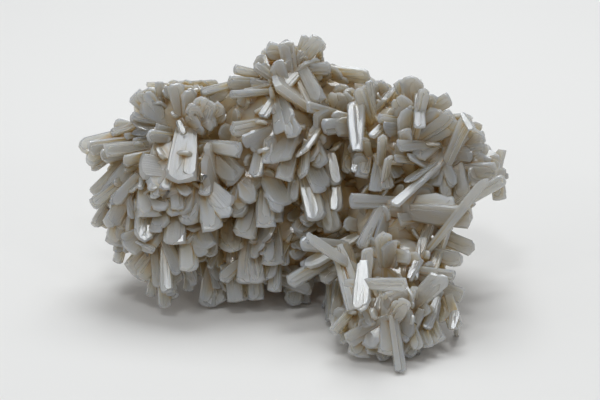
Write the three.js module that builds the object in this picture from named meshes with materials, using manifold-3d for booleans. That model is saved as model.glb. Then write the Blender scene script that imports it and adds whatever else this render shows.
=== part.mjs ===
// A stilbite specimen, a jackstraw cluster of pearly tabular crystals on one lumpy heart.
// Every crystal is a flat lath with a roofed end. They all grew together, so the cluster is
// one solid, broken off flat underneath where it came away from its rock.
// Millimetres, +Z up, the front of the specimen towards -Y, the floor it stands on at Z 0.

import * as THREE from "three";
import { mergeVertices } from "three/addons/utils/BufferGeometryUtils.js";
import Module from "manifold-3d";

const wasm = await Module();
wasm.setup();

// The cluster is 120 mm wide, and takes up 427 steps of the layout grid. The grid is the
// picture the specimen shows from the front, 600 steps wide and 400 high, counted from
// the upper left corner.
const CLUSTER_WIDTH = 120;
const GRID_STEP = CLUSTER_WIDTH / 427;
const GRID_MIDDLE = [300, 200];
const GRID_FOOT = [292, 303];
const SIGHT_ELEVATION = THREE.MathUtils.degToRad(22);
const SIGHT_DISTANCE = 650;

// Crystals: a lath's thickness follows its width, and its root is a little narrower.
const THICKNESS_SHARE = 0.26;
const THICKNESS_LEAST = 0.7;
const ROOT_WIDTH = 0.9;

// The crystals of the front: how far a tip stands off the heart and how deep a root is in
// it, the part of a lump that can hold a root, how far a lath is clear of the heart at its
// middle, its steepest slope towards the eye, how far it may be sunk to be held, and the
// steps by which it is moved forward to stay off the floor.
const STAND_OFF = 2;
const ROOT_DEPTH = 3;
const HELD_SPREAD = 0.75;
const LONGEST = 30;
const MIDDLE_RISE = 0.5;
const STEEPEST = 0.8;
const SINKS = [0, 1, 2, 3, 4, 5, 6, 7, 8, 9, 10, 12, 14];
const WAIST = 0.6;
const FLOOR_STEP = 0.25;
const NEAREST = 50;

// The crystals of the back and the top: the skin that each has to itself in square mm, how
// far its tip stands off and over the skin, how far round to the front they go, and from
// what height they go on there. Their sizes lie between two ends, and they rise from the
// skin by the first of these angles that keeps the root in the heart.
const RULED_SPACING = 56;
const RULED_REACH = 2.2;
const RULED_OVERHANG = 2;
const RULED_LIMIT = 0.1;
const RULED_TOP = 0.3;
const RULED_GRIP = 0.93;
const RULED_LOWEST = 3;
const RULED_WIDTH = [6, 10];
const RULED_LENGTH = [12, 16];
const RULED_ROOF = [0.4, 0.1];
const RULED_SWING = 70;
const RULED_TURN = 17;
const RULED_RISES = [20, 28, 36, 44, 52, 60];
const GOLDEN_TURN = Math.PI * (3 - Math.sqrt(5));

// The heart's lumps are balls of twenty faces, swelled so that their faces lie about where
// the round skin would be.
const HEART_SWELL = 1.1;

// The rock that the specimen was broken from is cut away below the floor.
const ROCK_WIDTH = 400;
const ROCK_DEPTH = 100;
const MERGE_DISTANCE = 1e-4;

// Three directions of the front view: to the right, up the picture and towards the eye.
const ACROSS = new THREE.Vector3(1, 0, 0);
const UPWARD = new THREE.Vector3(0, Math.sin(SIGHT_ELEVATION), Math.cos(SIGHT_ELEVATION));
const TO_EYE = new THREE.Vector3(0, -Math.cos(SIGHT_ELEVATION), Math.sin(SIGHT_ELEVATION));
const MIDDLE = new THREE.Vector3()
  .addScaledVector(ACROSS, GRID_STEP * (GRID_MIDDLE[0] - GRID_FOOT[0]))
  .addScaledVector(UPWARD, GRID_STEP * (GRID_FOOT[1] - GRID_MIDDLE[1]));

// The point that shows at grid place (x, y), that many mm nearer to the eye than the middle.
function place(x, y, near) {
  const shrink = 1 - near / SIGHT_DISTANCE;
  return MIDDLE.clone()
    .addScaledVector(ACROSS, GRID_STEP * (x - GRID_MIDDLE[0]) * shrink)
    .addScaledVector(UPWARD, GRID_STEP * (GRID_MIDDLE[1] - y) * shrink)
    .addScaledVector(TO_EYE, near);
}

// The heart: grid x and y of each lump's middle, how near it is, and its three radii in mm
// across, up the picture and towards the eye.
const LUMPS = [
  [178, 196, -3, 18, 19, 17],
  [190, 124, -6, 15, 11, 12],
  [283, 150, -5, 21, 20, 17],
  [292, 84, -8, 11, 10, 10],
  [335, 108, -9, 15, 9, 9],
  [402, 158, -2, 17, 17, 16],
  [450, 160, -3, 10, 11, 12],
  [262, 243, -6, 23, 12, 15],
  [395, 228, 5, 14, 15, 15],
  [400, 276, 17, 11, 11, 11],
  [385, 322, 29, 11, 8, 8],
  [322, 206, -5, 14, 14, 12],
  [350, 158, -5, 9, 11, 11],
  [275, 210, -18, 32, 22, 14],
];

// How far a grid place is from a lump's middle, as a share of the way to its edge.
function spread(x, y, [lumpX, lumpY, , wide, high]) {
  return Math.hypot(((x - lumpX) * GRID_STEP) / wide, ((y - lumpY) * GRID_STEP) / high);
}

// How near the heart's front is at a grid place, or the middle of the lump beside it.
function nearness(x, y) {
  const spreads = LUMPS.map((lump) => spread(x, y, lump));
  const over = LUMPS.filter((lump, i) => spreads[i] < 1);
  if (over.length === 0) return LUMPS[spreads.indexOf(Math.min(...spreads))][2];
  return Math.max(...over.map((lump) => lump[2] + lump[5] * Math.sqrt(1 - spread(x, y, lump) ** 2)));
}

// The crystals that show from the front. Each row is the grid place of the tip, the heading
// (degrees clockwise from the top of the picture), the width and length in mm, the lean
// towards the eye and the turn about its own length in degrees, the lift off the heart in
// mm, and the height of the roofed end as a share of the width.
const LEFT_LOBE = [
  [219, 84, 87, 3.0, 17, 10, 20, -1, 0.2],
  [160, 81, 5, 2.8, 10, 5, 0, 0, 0.1],
  [133, 94, 315, 5.0, 13, 5, 10, 0, 0.1],
  [131, 115, 285, 2.8, 11, 10, 20, 0, 0.3],
  [175, 83, 350, 5.0, 10, 5, 10, -2, 0.1],
  [113, 124, 285, 4.2, 14, -5, 0, -6, 0.2],
  [78, 148, 256, 5.5, 20, 5, 15, 0, 0.3],
  [86, 163, 240, 4.5, 18, 10, 20, 1, 0.2],
  [87, 149, 262, 4.5, 15, 12, 0, 3, 0.3],
  [180, 184, 187, 9.0, 16, 25, 0, 3, 0.16],
  [239, 181, 135, 7.4, 17, 20, 0, 3, 0.12],
  [243, 150, 97, 4.8, 14, 20, 0, 3, 0.3],
  [145, 243, 180, 6.3, 13, 22, 0, 1, 0.45],
  [149, 218, 178, 7.0, 13, 35, 0, 4, 0.08],
  [106, 229, 190, 6.4, 13, 15, 5, 2, 0.3],
  [124, 231, 180, 5.0, 13, 12, 0, 1, 0.2],
  [92, 195, 225, 4.6, 14, 5, 40, 0, 0.2],
  [94, 228, 212, 4.2, 14, 5, 30, -1, 0.3],
  [115, 247, 195, 7.0, 14, 5, 5, 1, 0.1],
  [133, 277, 217, 8.6, 15, 0, 0, 0, 0.12],
  [150, 297, 195, 3.0, 13, 0, 0, 0, 0.1],
  [165, 309, 178, 3.8, 16, 8, 0, 2, 0.35],
  [174, 246, 185, 6.4, 12, 25, 0, 1, 0.2],
  [187, 226, 190, 6.0, 14, 28, 0, 3, 0.35],
  [213, 232, 170, 6.4, 14, 30, 0, 1, 0.12],
  [231, 254, 180, 7.2, 14, 28, 0, 3, 0.3],
];
const MIDDLE_FRONT = [
  [243, 239, 195, 7.0, 15, 25, 0, 4, 0.25],
  [266, 228, 178, 5.6, 15, 33, 0, 5, 0.06],
  [234, 218, 195, 7.4, 15, 25, 0, 1, 0.3],
  [244, 285, 185, 5.0, 14, 15, 0, 2, 0.15],
  [273, 266, 178, 6.6, 13, 30, 0, 2, 0.06],
  [207, 308, 187, 5.2, 14, 5, 0, 1, 0.2],
  [236, 303, 175, 5.0, 15, 10, 0, 1, 0.1],
  [256, 301, 178, 4.8, 14, 0, 0, -2, 0.05],
  [293, 307, 185, 5.4, 14, 5, 0, 1, 0.3],
  [306, 304, 170, 2.8, 11, 0, 0, 0, 0.1],
  [313, 291, 110, 4.0, 12, 15, 10, 1, 0.3],
  [188, 292, 185, 3.0, 12, 0, 0, -2, 0.1],
  [283, 181, 195, 5.4, 15, 20, 0, 4, 0.06],
  [318, 222, 165, 6.0, 21, 20, 0, 4, 0.2],
  [334, 233, 165, 5.6, 19, 18, 0, 3, 0.15],
  [322, 168, 160, 5.0, 13, 25, 0, 3, 0.3],
  [335, 187, 170, 5.0, 12, 18, 0, 1, 0.3],
  [321, 282, 228, 4.6, 15, 10, 10, 3, 0.2],
  [301, 223, 235, 5.0, 12, 20, 0, 3, 0.3],
  [294, 233, 245, 4.6, 14, 10, 0, 1, 0.2],
];
const UPPER_RIDGE = [
  [265, 50, 283, 5.4, 15, 10, 0, 1, 0.08],
  [285, 41, 348, 5.0, 12, 5, 10, 0, 0.08],
  [321, 37, 42, 5.2, 15, 5, 0, 1, 0.15],
  [306, 35, 20, 2.6, 12, 5, 0, 0, 0.2],
  [324, 55, 100, 3.0, 12, 0, 10, -1, 0.3],
  [332, 68, 85, 4.0, 12, 10, 0, 1, 0.2],
  [227, 83, 272, 4.6, 16, 10, 0, 2, 0.15],
  [233, 69, 282, 3.2, 14, 5, 20, 1, 0.1],
  [254, 65, 305, 3.2, 11, 0, 0, -3, 0.2],
  [229, 95, 265, 2.6, 13, 15, 10, 2, 0.2],
  [317, 105, 155, 6.6, 16, 25, 0, 6, 0.18],
  [371, 77, 97, 4.6, 17, 8, 15, 2, 0.3],
  [369, 80, 352, 2.4, 13, 15, 20, 3, 0.2],
  [389, 85, 55, 5.0, 13, 0, 0, -1, 0.1],
  [321, 128, 262, 5.0, 13, 20, 0, 2, 0.3],
  [229, 131, 258, 4.8, 14, 20, 0, 4, 0.3],
  [297, 137, 150, 5.0, 12, 25, 0, 2, 0.25],
];
const RIGHT_LOBE = [
  [411, 75, 355, 6.6, 17, 8, 0, 3, 0.3],
  [425, 88, 12, 3.6, 16, 12, 35, 2, 0.2],
  [451, 98, 60, 4.2, 14, 0, 0, 0, 0.1],
  [454, 114, 55, 4.4, 15, -5, 0, -5, 0.2],
  [469, 115, 25, 4.2, 18, 18, 0, 5, 0.3],
  [482, 132, 48, 5.6, 14, 0, 0, -2, 0.1],
  [486, 147, 80, 4.0, 13, 0, 0, -3, 0.3],
  [502, 160, 77, 5.2, 15, 8, 0, 2, 0.3],
  [506, 178, 60, 3.6, 12, 5, 0, 1, 0.3],
  [500, 201, 172, 4.2, 12, 5, 10, 1, 0.1],
  [467, 175, 268, 6.0, 11, 35, 0, 3, 0.2],
  [471, 209, 160, 3.8, 13, 18, 0, 3, 0.35],
  [397, 146, 268, 3.8, 14, 10, 15, 2, 0.2],
  [388, 190, 172, 4.0, 12, 15, 0, 1, 0.2],
  [434, 187, 192, 4.6, 11, 20, 0, 1, 0.1],
  [375, 192, 188, 3.8, 15, 15, 0, 2, 0.12],
  [404, 128, 350, 4.2, 12, 20, 0, 0, 0.2],
];
const LEG = [
  [474, 218, 95, 6.2, 25, 8, 8, 2, 0.3],
  [475, 250, 112, 4.6, 14, 5, 0, 1, 0.3],
  [464, 262, 106, 4.6, 14, 5, 0, 2, 0.3],
  [456, 277, 100, 3.6, 14, 0, 0, -1, 0.2],
  [383, 231, 356, 5.0, 11, 30, 0, 3, 0.45],
  [417, 259, 200, 3.4, 16, 10, 15, 2, 0.4],
  [429, 280, 199, 3.4, 17, 10, 15, 3, 0.4],
  [411, 258, 100, 4.0, 13, 10, 0, 1, 0.2],
  [408, 285, 92, 3.7, 18, 5, 0, 2, 0.3],
  [348, 201, 272, 4.6, 20, 5, 15, 1, 0.2],
];
const FOOT = [
  [329, 321, 180, 2.4, 16, 0, 60, -1, 0.1],
  [338, 323, 185, 5.6, 15, 5, 0, 0, 0.1],
  [358, 358, 193, 6.4, 15, 10, 0, 0, 0.08],
  [346, 342, 240, 4.6, 14, 5, 0, 0, 0.3],
  [391, 356, 178, 6.9, 17, 20, 0, 4, 0.25],
  [385, 361, 165, 4.0, 14, 0, 0, 0, 0.2],
  [401, 373, 172, 3.2, 17, 5, 0, 1, 0.35],
  [410, 358, 175, 4.4, 15, 5, 0, 0, 0.3],
  [429, 348, 163, 3.4, 14, 0, 0, -1, 0.2],
  [440, 343, 155, 4.0, 15, 0, 0, -1, 0.1],
  [456, 330, 165, 4.2, 16, 5, 0, 0, 0.15],
  [464, 297, 113, 4.4, 15, 0, 0, -4, 0.1],
  [457, 289, 75, 5.0, 13, 8, 0, -2, 0.15],
  [398, 322, 150, 5.0, 12, 30, 0, 5, 0.3],
];
// These laths turn their broad faces to the eye, and throw the lamp back like mirrors.
const MIRRORS = [
  [356, 102, 358, 5.6, 16, 3, 0, 3, 0.2],
  [337, 213, 176, 4.2, 11, 5, 0, 3, 0.3],
  [360, 309, 180, 5.6, 15, -2, 0, 2, 0.45],
];
const FRONT = [LEFT_LOBE, MIDDLE_FRONT, UPPER_RIDGE, RIGHT_LOBE, LEG, FOOT, MIRRORS].flat();

function closedSolid(geometry) {
  const bare = geometry.clone();
  bare.deleteAttribute("normal");
  bare.deleteAttribute("uv");
  const merged = mergeVertices(bare, MERGE_DISTANCE);
  return new wasm.Manifold(
    new wasm.Mesh({
      numProp: 3,
      vertProperties: new Float32Array(merged.attributes.position.array),
      triVerts: new Uint32Array(merged.index.array),
    }),
  );
}

// One lath with its tip at the origin, its length along Y and its broad faces across Z.
function lathGeometry(wide, long, roof) {
  const half = wide / 2;
  const thick = THICKNESS_LEAST + THICKNESS_SHARE * wide;
  const eaves = -roof * wide;
  const outline = new THREE.Shape();
  outline.moveTo(-half * ROOT_WIDTH, -long);
  outline.lineTo(half * ROOT_WIDTH, -long);
  outline.lineTo(half, eaves);
  outline.lineTo(0, 0);
  outline.lineTo(-half, eaves);
  outline.closePath();
  const geometry = new THREE.ExtrudeGeometry(outline, { depth: thick, bevelEnabled: false });
  return geometry.translate(0, 0, -thick / 2);
}

// Stands a lath's geometry at a point, along a direction, its broad face as near to
// facing a given way as it can be and then turned about its length.
function standLath(geometry, tip, along, facing, turn) {
  const normal = facing.clone().addScaledVector(along, -facing.dot(along)).normalize();
  normal.applyAxisAngle(along, turn);
  const sideways = new THREE.Vector3().crossVectors(along, normal);
  const stand = new THREE.Matrix4().makeBasis(sideways, along, normal).setPosition(tip);
  return geometry.applyMatrix4(stand);
}

// True where a point lies inside the heart, within that share of the way to its skin.
function insideHeart(point, share = 1) {
  return LUMPS.some(([x, y, near, wide, high, deep]) => {
    const off = point.clone().sub(place(x, y, near));
    return Math.hypot(off.dot(ACROSS) / wide, off.dot(UPWARD) / high, off.dot(TO_EYE) / deep) < share;
  });
}

// A crystal of the front. Its root is in the heart, however long that makes it, and its
// tip stands off the heart, or further forward where it would dip under the floor.
function frontLath([x, y, heading, wide, long, lean, turn, lift, roof]) {
  const angle = THREE.MathUtils.degToRad(heading);
  const back = (length) => [
    x - (length * Math.sin(angle)) / GRID_STEP,
    y + (length * Math.cos(angle)) / GRID_STEP,
  ];
  let length = long;
  const held = () => LUMPS.some((lump) => spread(...back(length), lump) < HELD_SPREAD);
  while (!held() && length < LONGEST) length += 1;
  if (!held()) length = long;
  let rootNear = nearness(...back(length)) - ROOT_DEPTH;
  let tipNear = nearness(x, y) + STAND_OFF + lift;
  const sunk = nearness(...back(length / 2)) + MIDDLE_RISE - (rootNear + tipNear) / 2;
  rootNear += Math.max(0, sunk);
  tipNear += Math.max(0, sunk);
  tipNear = Math.max(tipNear, rootNear + length * Math.tan(THREE.MathUtils.degToRad(lean)));
  rootNear = Math.max(rootNear, tipNear - length * STEEPEST);
  const waistNear = WAIST * rootNear + (1 - WAIST) * tipNear;
  const gripped = (sink) =>
    insideHeart(place(...back(length), rootNear - sink)) ||
    insideHeart(place(...back(WAIST * length), waistNear - sink));
  const sink = SINKS.find(gripped) ?? 0;
  rootNear -= sink;
  tipNear -= sink;
  const standing = () => {
    const root = place(...back(length), rootNear);
    const tip = place(x, y, tipNear);
    const along = tip.clone().sub(root);
    const lath = lathGeometry(wide, along.length(), roof);
    standLath(lath, tip, along.normalize(), TO_EYE, THREE.MathUtils.degToRad(turn));
    lath.computeBoundingBox();
    return lath;
  };
  let lath = standing();
  while (lath.boundingBox.min.z < 0 && tipNear < NEAREST) {
    tipNear += FLOOR_STEP;
    rootNear += FLOOR_STEP / 2;
    lath = standing();
  }
  return lath;
}

function lumpGeometry([x, y, near, wide, high, deep]) {
  const ball = new THREE.IcosahedronGeometry(HEART_SWELL);
  const axes = new THREE.Matrix4().makeBasis(ACROSS, UPWARD, TO_EYE);
  ball.applyMatrix4(new THREE.Matrix4().makeScale(wide, high, deep));
  return ball.applyMatrix4(axes).translate(...place(x, y, near).toArray());
}

// A number from 0 to 1 that changes from one ruled crystal to the next without a pattern.
function variation(i, lumpNumber) {
  return (1 + Math.sin(12.9 * (i + 1) + 3.1 * lumpNumber)) / 2;
}

// The crystals of the back, top and underside stand on each lump by a rule: their tips lie
// on a spiral round it, and each leans away from the middle of the lump's back.
function ruledLaths(lump, lumpNumber) {
  const [x, y, near, wide, high, deep] = lump;
  const between = ([least, most], share) => least + (most - least) * share;
  const count = Math.round((wide * high + high * deep + deep * wide) / RULED_SPACING);
  const laths = [];
  for (let i = 0; i < count; i += 1) {
    const toEye = 1 - (2 * i + 1) / count;
    const ring = Math.sqrt(1 - toEye * toEye);
    const bearing = GOLDEN_TURN * (i + 7 * lumpNumber);
    if (toEye > RULED_LIMIT && ring * Math.sin(bearing) < RULED_TOP) continue;
    const vary = variation(i, lumpNumber);
    const outward = ACROSS.clone().multiplyScalar(Math.cos(bearing));
    outward.addScaledVector(UPWARD, Math.sin(bearing));
    const radial = outward.clone().multiplyScalar(ring).addScaledVector(TO_EYE, toEye);
    const skin = place(x, y, near)
      .addScaledVector(ACROSS, wide * ring * Math.cos(bearing))
      .addScaledVector(UPWARD, high * ring * Math.sin(bearing))
      .addScaledVector(TO_EYE, deep * toEye);
    const flat = outward.addScaledVector(radial, -outward.dot(radial)).normalize();
    flat.applyAxisAngle(radial, THREE.MathUtils.degToRad(RULED_SWING * (2 * vary - 1)));
    const long = between(RULED_LENGTH, vary);
    const leaning = (degrees) => {
      const rise = THREE.MathUtils.degToRad(degrees);
      return flat.clone().multiplyScalar(Math.cos(rise)).addScaledVector(radial, Math.sin(rise));
    };
    const tipOf = (along) =>
      skin.clone().addScaledVector(radial, RULED_REACH).addScaledVector(along, RULED_OVERHANG);
    const rootHeld = (degrees) => {
      const along = leaning(degrees);
      return insideHeart(tipOf(along).addScaledVector(along, -long), RULED_GRIP);
    };
    const rise = RULED_RISES.find(rootHeld);
    if (rise === undefined) continue;
    const along = leaning(rise);
    const tip = tipOf(along);
    if (insideHeart(tip) || tip.z < RULED_LOWEST) continue;
    const lath = lathGeometry(between(RULED_WIDTH, vary), long, between(RULED_ROOF, vary));
    const turn = THREE.MathUtils.degToRad(RULED_TURN * (2 * vary - 1));
    laths.push(standLath(lath, tip, along, radial, turn));
  }
  return laths;
}

const geometries = [
  ...LUMPS.map(lumpGeometry),
  ...FRONT.map(frontLath),
  ...LUMPS.flatMap(ruledLaths),
];
const grown = wasm.Manifold.union(geometries.map(closedSolid));
const rock = new THREE.BoxGeometry(ROCK_WIDTH, ROCK_WIDTH, ROCK_DEPTH).translate(0, 0, -ROCK_DEPTH / 2);
const pieces = grown.subtract(closedSolid(rock)).decompose();
// A crystal that the break left with no hold on the cluster fell off.
const broken = pieces.sort((a, b) => b.volume() - a.volume())[0];

const mesh = broken.getMesh();
const geometry = new THREE.BufferGeometry();
geometry.setAttribute("position", new THREE.BufferAttribute(new Float32Array(mesh.vertProperties), 3));
geometry.setIndex(new THREE.BufferAttribute(new Uint32Array(mesh.triVerts), 1));

// The origin is on the floor, under the middle of the cluster.
geometry.computeBoundingBox();
const middle = geometry.boundingBox.getCenter(new THREE.Vector3());
geometry.translate(-middle.x, -middle.y, 0);
geometry.computeVertexNormals();

const pearl = new THREE.MeshStandardMaterial({ color: "#b9b4a8", roughness: 0.45, metalness: 0 });
const cluster = new THREE.Mesh(geometry, pearl);
cluster.name = "stilbite_cluster";
const specimen = new THREE.Group();
specimen.add(cluster);

export default specimen;
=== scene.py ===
import math

import bmesh
import bpy
import numpy as np
from mathutils import Matrix, Vector
from mathutils.bvhtree import BVHTree


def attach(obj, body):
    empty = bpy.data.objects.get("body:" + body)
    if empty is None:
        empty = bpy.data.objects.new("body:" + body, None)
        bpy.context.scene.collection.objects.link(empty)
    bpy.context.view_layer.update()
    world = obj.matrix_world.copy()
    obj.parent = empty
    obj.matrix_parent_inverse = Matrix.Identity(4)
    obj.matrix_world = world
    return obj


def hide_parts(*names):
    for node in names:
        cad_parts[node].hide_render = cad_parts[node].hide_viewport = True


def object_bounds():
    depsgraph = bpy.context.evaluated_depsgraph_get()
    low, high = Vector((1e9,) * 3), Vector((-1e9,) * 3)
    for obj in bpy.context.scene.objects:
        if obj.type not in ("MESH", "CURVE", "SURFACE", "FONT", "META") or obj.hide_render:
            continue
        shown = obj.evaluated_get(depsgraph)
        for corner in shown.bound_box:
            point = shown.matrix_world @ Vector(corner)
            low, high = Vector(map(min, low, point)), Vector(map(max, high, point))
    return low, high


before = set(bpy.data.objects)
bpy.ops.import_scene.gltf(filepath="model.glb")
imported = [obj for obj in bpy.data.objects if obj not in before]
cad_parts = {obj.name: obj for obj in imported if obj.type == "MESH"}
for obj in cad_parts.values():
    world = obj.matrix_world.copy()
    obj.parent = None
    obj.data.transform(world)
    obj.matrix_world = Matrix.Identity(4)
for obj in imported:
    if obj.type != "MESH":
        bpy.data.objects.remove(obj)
cad_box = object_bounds()

# The camera
# The specimen is seen from a little above its front. Its crystals are placed on the picture
# that it shows from there, 600 steps wide and 400 high, so the same view carries both.
MM = 0.001
PICTURE_STEP = 120 / 427 * MM
PICTURE_MIDDLE = (300, 200)
PICTURE_FOOT = (292, 303)
SIGHT_ELEVATION = math.radians(22)
SIGHT_DISTANCE = 650 * MM
ORIGIN_SHIFT = Vector((-0.363, 0.362, 0)) * MM
SENSOR_WIDTH = 36

ACROSS = Vector((1, 0, 0))
UPWARD = Vector((0, math.sin(SIGHT_ELEVATION), math.cos(SIGHT_ELEVATION)))
TO_EYE = Vector((0, -math.cos(SIGHT_ELEVATION), math.sin(SIGHT_ELEVATION)))
MIDDLE = (
    ORIGIN_SHIFT
    + ACROSS * PICTURE_STEP * (PICTURE_MIDDLE[0] - PICTURE_FOOT[0])
    + UPWARD * PICTURE_STEP * (PICTURE_FOOT[1] - PICTURE_MIDDLE[1])
)


def place(x, y, near):
    """The point that shows at picture place (x, y), that many mm nearer to the eye than the middle."""
    shrink = 1 - near * MM / SIGHT_DISTANCE
    across = ACROSS * PICTURE_STEP * (x - PICTURE_MIDDLE[0]) * shrink
    upward = UPWARD * PICTURE_STEP * (PICTURE_MIDDLE[1] - y) * shrink
    return MIDDLE + across + upward + TO_EYE * near * MM


scene = bpy.context.scene
camera_data = bpy.data.cameras.new("camera")
camera_data.sensor_width = SENSOR_WIDTH
camera_data.lens = SENSOR_WIDTH * SIGHT_DISTANCE / (600 * PICTURE_STEP)
camera = bpy.data.objects.new("camera", camera_data)
scene.collection.objects.link(camera)
turned = Matrix((ACROSS, UPWARD, TO_EYE)).transposed().to_4x4()
camera.matrix_world = Matrix.Translation(MIDDLE + TO_EYE * SIGHT_DISTANCE) @ turned
scene.camera = camera

# The floor and the studio light
# A plain pale floor that runs far out behind the specimen, a large soft lamp above the
# front that the mirror-bright crystals catch, and a weaker one from the left.
FLOOR_HALF = 3.0
FLOOR_COLOUR = (0.80, 0.77, 0.73, 1)
LAMPS = [
    ((-0.10, -0.33, 0.72), 0.12, 0.9, (0.90, 0.95, 1.0)),
    ((0.05, 0.35, 0.75), 0.50, 4.7, (0.90, 0.95, 1.0)),
    ((-0.75, -0.15, 0.30), 0.40, 0.6, (0.90, 0.95, 1.0)),
    ((-0.42, -0.52, 0.48), 0.07, 0.25, (0.90, 0.95, 1.0)),
    ((0.40, -0.55, 0.45), 0.07, 0.25, (0.90, 0.95, 1.0)),
    ((0.06, -0.60, 0.62), 0.07, 0.25, (0.95, 0.97, 1.0)),
]
SKY_COLOUR = (0.90, 0.93, 0.97, 1)
SKY_STRENGTH = 0.33
LAMP_AIM = Vector((0, 0, 30 * MM))


def plain_material(name, colour, roughness):
    material = bpy.data.materials.new(name)
    material.use_nodes = True
    shader = material.node_tree.nodes["Principled BSDF"]
    shader.inputs["Base Color"].default_value = colour
    shader.inputs["Roughness"].default_value = roughness
    return material


floor_mesh = bpy.data.meshes.new("floor")
corners = [(-FLOOR_HALF, -FLOOR_HALF, 0), (FLOOR_HALF, -FLOOR_HALF, 0)]
corners += [(FLOOR_HALF, FLOOR_HALF, 0), (-FLOOR_HALF, FLOOR_HALF, 0)]
floor_mesh.from_pydata(corners, [], [(0, 1, 2, 3)])
floor_mesh.materials.append(plain_material("floor", FLOOR_COLOUR, 0.7))
floor = bpy.data.objects.new("floor", floor_mesh)
scene.collection.objects.link(floor)

for number, (spot, size, power, colour) in enumerate(LAMPS):
    lamp_data = bpy.data.lights.new(f"lamp_{number}", "AREA")
    lamp_data.size = size
    lamp_data.energy = power
    lamp_data.color = colour
    lamp = bpy.data.objects.new(f"lamp_{number}", lamp_data)
    scene.collection.objects.link(lamp)
    lamp.location = spot
    lamp.rotation_euler = (LAMP_AIM - lamp.location).to_track_quat("-Z", "Y").to_euler()

world = bpy.data.worlds.new("studio")
world.use_nodes = True
world.node_tree.nodes["Background"].inputs["Color"].default_value = SKY_COLOUR
world.node_tree.nodes["Background"].inputs["Strength"].default_value = SKY_STRENGTH
scene.world = world
scene.view_settings.view_transform = "Standard"

# The heart
# The middle of the cluster, where all the crystals are rooted: lumps of massive stilbite
# grown into each other. Hardly any of it shows between the crystals.
# Each lump: its picture place, how near it is in mm, and its radii in mm across, up the
# picture and towards the eye.
LUMPS = [
    (178, 196, -3, 18, 19, 17),
    (190, 124, -6, 15, 11, 12),
    (283, 150, -5, 21, 20, 17),
    (292, 84, -8, 11, 10, 10),
    (335, 108, -9, 15, 9, 9),
    (402, 158, -2, 17, 17, 16),
    (450, 160, -3, 10, 11, 12),
    (262, 243, -6, 23, 12, 15),
    (395, 228, 5, 14, 15, 15),
    (400, 276, 17, 11, 11, 11),
    (385, 322, 29, 11, 8, 8),
    (322, 206, -5, 14, 14, 12),
    (350, 158, -5, 9, 11, 11),
    (275, 210, -18, 32, 22, 14),
]
LUMP_DETAIL = 2
LUMP_SWELL = 1


def spread(x, y, lump):
    """How far a picture place is from a lump's middle, as a share of the way to its edge."""
    off_x = (x - lump[0]) * PICTURE_STEP / (lump[3] * MM)
    off_y = (y - lump[1]) * PICTURE_STEP / (lump[4] * MM)
    return math.hypot(off_x, off_y)


def nearness(x, y):
    """How near the heart's front is at a picture place, or the middle of the lump beside it."""
    over = [lump for lump in LUMPS if spread(x, y, lump) < 1]
    if not over:
        return min(LUMPS, key=lambda lump: spread(x, y, lump))[2]
    return max(lump[2] + lump[5] * math.sqrt(1 - spread(x, y, lump) ** 2) for lump in over)


def lump_share(point, lump):
    """How far a point is from a lump's middle, as a share of the way to its skin."""
    off = point - place(*lump[:3])
    shares = (off.dot(ACROSS) / lump[3], off.dot(UPWARD) / lump[4], off.dot(TO_EYE) / lump[5])
    return math.hypot(*shares) / MM


def inside_heart(point, share):
    """True where a point lies inside the heart, within that share of the way to its skin."""
    return any(lump_share(point, lump) < share for lump in LUMPS)


def lump_shell(lump):
    """The closed mesh of one lump."""
    ball = bpy.data.meshes.new("lump")
    grown = bmesh.new()
    bmesh.ops.create_icosphere(grown, subdivisions=LUMP_DETAIL, radius=LUMP_SWELL)
    for vertex in grown.verts:
        across, upward, to_eye = vertex.co
        vertex.co = (
            place(*lump[:3])
            + ACROSS * across * lump[3] * MM
            + UPWARD * upward * lump[4] * MM
            + TO_EYE * to_eye * lump[5] * MM
        )
    grown.to_mesh(ball)
    grown.free()
    return ball


# How shells are joined: two at a time, then the pairs, until one closed mesh is left.
left_shell = bpy.data.objects.new("left_shell", bpy.data.meshes.new("left_shell"))
right_shell = bpy.data.objects.new("right_shell", bpy.data.meshes.new("right_shell"))
scene.collection.objects.link(left_shell)
scene.collection.objects.link(right_shell)
joining = left_shell.modifiers.new("joining", "BOOLEAN")
joining.object = right_shell
joining.solver = "MANIFOLD"


def joined(left, right, operation):
    """One mesh from two closed meshes, joined or cut."""
    joining.operation = operation
    left_shell.data = left
    right_shell.data = right
    depsgraph = bpy.context.evaluated_depsgraph_get()
    depsgraph.update()
    result = bpy.data.meshes.new_from_object(left_shell.evaluated_get(depsgraph))
    left_shell.data = bpy.data.meshes.new("left_shell")
    right_shell.data = bpy.data.meshes.new("right_shell")
    return result


def grown_together(shells):
    """One closed mesh from many closed meshes."""
    while len(shells) > 1:
        pairs = [joined(shells[i], shells[i + 1], "UNION") for i in range(0, len(shells) - 1, 2)]
        shells = pairs + shells[len(pairs) * 2:]
    return shells[0]


heart_mesh = grown_together([lump_shell(lump) for lump in LUMPS])

# The plates
# Every stilbite crystal is a sheaf of plates grown side by side on one length, a little
# fanned, each with a roofed or stepped end. Together they show as a ridged lath whose
# edges are rounded and whose tip is ragged.
THICKNESS_LEAST = 0.7
THICKNESS_SHARE = 0.28
RIB_WIDTH = 3.0
RIB_SWELL = (1.25, 1.75)
RIB_THICKNESS = (0.72, 1.0)
RIB_SETBACKS = (0, 0.03, 0.08, 0.2)
RIB_FAN = 2.5
ROUNDED_WIDTH = 0.24
RAGGED = 0.06
BROAD, EDGE, END = 0, 1, 2
# One side of a plate's outline, from root to tip: places across as a share of the half
# width, along as shares of the length and of the roof's height, and the thickness there.
LARGE_SIDE = [
    (0.5, 1.0, 0, 0.8), (0.74, 0.86, 0, 0.95), (0.94, 0.4, 0, 1),
    (1, 0, 1.0, 0.95), (0.62, 0, 0.3, 0.8),
]
SMALL_SIDE = [(0.8, 1, 0, 1), (1, 0, 1.2, 1), (0.55, 0, 0.3, 0.9)]
TIP_THICKNESS = 0.65
LOPSIDED = (0.4, 1.6)
RING_COUNT = 3


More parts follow.
